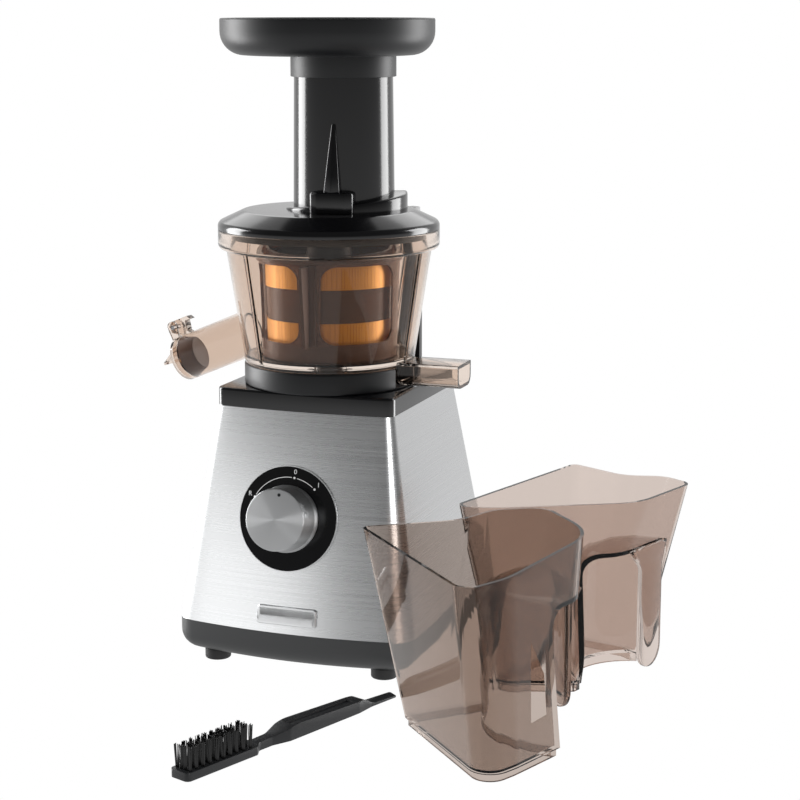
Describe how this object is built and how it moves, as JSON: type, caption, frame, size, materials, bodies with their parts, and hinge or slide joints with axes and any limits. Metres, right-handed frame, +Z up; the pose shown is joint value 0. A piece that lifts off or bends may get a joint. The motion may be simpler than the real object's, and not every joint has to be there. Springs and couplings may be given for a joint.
{
  "type": "cold press juicer",
  "caption": "Vertical slow juicer: brushed motor base with dial, tinted bowl with strainer, wiper and auger, chute lid with tray, capped spout, catch jugs and a cleaning brush.",
  "frame": {"origin": "on the floor under the drive axis of the auger", "axes": "+Z up along the drive axis; the control knob faces -Y; the juice spout points to -X and the pulp spout to +X"},
  "size_m": [0.358, 0.3668, 0.415],
  "materials": {
    "brushed_shell": "horizontal brushed grain",
    "grey_pan": "fine matt texture",
    "black_rubber": "matt",
    "gloss_black": "high gloss",
    "satin_black": "satin",
    "clear_brown": "clear, tinted brown",
    "dark_brown": "glossy",
    "gold_screen": "gold-coloured coating",
    "spun_knob": "spun face with bright edges",
    "plate_metal": "satin",
    "inner_steel": "plain",
    "bearing_brass": "plain",
    "rotor_iron": "varnished",
    "nylon_gear": "natural nylon",
    "soft_seal": "soft, dark",
    "bristle_nylon": "stiff bristle"
  },
  "bodies": {
    "base": {"housing_shell": "brushed_shell", "base_pan": "grey_pan", "feet": "black_rubber", "cord_gland": "black_rubber", "top_cap": "gloss_black", "bowl_seat": "satin_black", "interlock_post": "dark_brown", "dial_plate": "gloss_black", "nameplate": "plate_metal", "rotary_switch": "satin_black", "chassis_plate": "inner_steel", "chassis_posts": "inner_steel", "pan_screws": "inner_steel", "lower_bearing": "bearing_brass", "upper_bearing": "bearing_brass", "motor_case": "inner_steel"},
    "knob": {"switch_knob": "spun_knob", "switch_spindle": "inner_steel"},
    "drive": {"drive_shaft": "inner_steel", "drive_gear": "nylon_gear"},
    "motor": {"motor_shaft": "inner_steel", "motor_rotor": "rotor_iron", "cooling_fan": "satin_black", "motor_pinion": "bearing_brass"},
    "bowl": {"bowl": "clear_brown", "shaft_seal": "soft_seal", "strainer_frame": "dark_brown", "screen_lower": "gold_screen", "screen_upper": "gold_screen", "spout_pin": "inner_steel"},
    "auger": {"auger": "satin_black", "auger_socket": "inner_steel"},
    "wiper": {"wiper_frame": "dark_brown", "wiper_blades": "soft_seal"},
    "idler_front": {"idler_gear_front": "nylon_gear"},
    "idler_back": {"idler_gear_back": "nylon_gear"},
    "flip_cap": {"spout_cap": "clear_brown", "spout_plug": "soft_seal"},
    "lid": {"lid": "gloss_black"},
    "tray": {"hopper_tray": "satin_black"},
    "juice_jug": {"juice_jug": "clear_brown"},
    "pulp_jug": {"pulp_jug": "clear_brown"},
    "cleaning_brush": {"brush_handle": "gloss_black", "brush_tufts": "bristle_nylon"}
  },
  "joints": [
    {"name": "knob_turn", "type": "hinge", "parent": "base", "child": "knob", "pos_m": [-0.004, -0.06398, 0.101], "axis": [0, -0.9789, 0.2043], "range_deg": [-34, 70]},
    {"name": "drive_spin", "type": "hinge", "parent": "base", "child": "drive", "pos_m": [0, 0, 0.12], "axis": [0, 0, 1], "continuous": true},
    {"name": "motor_spin", "type": "hinge", "parent": "base", "child": "motor", "pos_m": [0, 0.045, 0.12], "axis": [0, 0, 1], "continuous": true},
    {"name": "bowl_lift", "type": "slide", "parent": "base", "child": "bowl", "axis": [0, 0, 1], "range_m": [0, 0.1]},
    {"name": "auger_spin", "type": "hinge", "parent": "bowl", "child": "auger", "pos_m": [0, 0, 0.2], "axis": [0, 0, 1], "continuous": true},
    {"name": "wiper_spin", "type": "hinge", "parent": "bowl", "child": "wiper", "pos_m": [0, 0, 0.2], "axis": [0, 0, 1], "continuous": true},
    {"name": "idler_front_spin", "type": "hinge", "parent": "bowl", "child": "idler_front", "pos_m": [0, -0.026, 0.2], "axis": [0, 0, 1], "continuous": true},
    {"name": "idler_back_spin", "type": "hinge", "parent": "bowl", "child": "idler_back", "pos_m": [0, 0.026, 0.2], "axis": [0, 0, 1], "continuous": true},
    {"name": "flip_cap_swing", "type": "hinge", "parent": "bowl", "child": "flip_cap", "pos_m": [-0.11571, 0.00882, 0.20799], "axis": [0.1564, 0.9877, 0], "range_deg": [0, 100]},
    {"name": "lid_lift", "type": "slide", "parent": "bowl", "child": "lid", "axis": [0, 0, 1], "range_m": [0, 0.1]},
    {"name": "tray_lift", "type": "slide", "parent": "lid", "child": "tray", "axis": [0, 0, 1], "range_m": [0, 0.08]},
    {"name": "juice_jug_lift", "type": "slide", "parent": "base", "child": "juice_jug", "axis": [0, 0, 1], "range_m": [0, 0.1]},
    {"name": "pulp_jug_lift", "type": "slide", "parent": "base", "child": "pulp_jug", "axis": [0, 0, 1], "range_m": [0, 0.06]},
    {"name": "brush_lift", "type": "slide", "parent": "base", "child": "cleaning_brush", "axis": [0, 0, 1], "range_m": [0, 0.1]}
  ],
  "couplings": [
    {"joint": "motor_spin", "follows": "drive_spin", "ratio": -4},
    {"joint": "auger_spin", "follows": "drive_spin", "ratio": 1},
    {"joint": "wiper_spin", "follows": "drive_spin", "ratio": -0.36842},
    {"joint": "idler_front_spin", "follows": "drive_spin", "ratio": -1.1667},
    {"joint": "idler_back_spin", "follows": "drive_spin", "ratio": -1.1667}
  ]
}
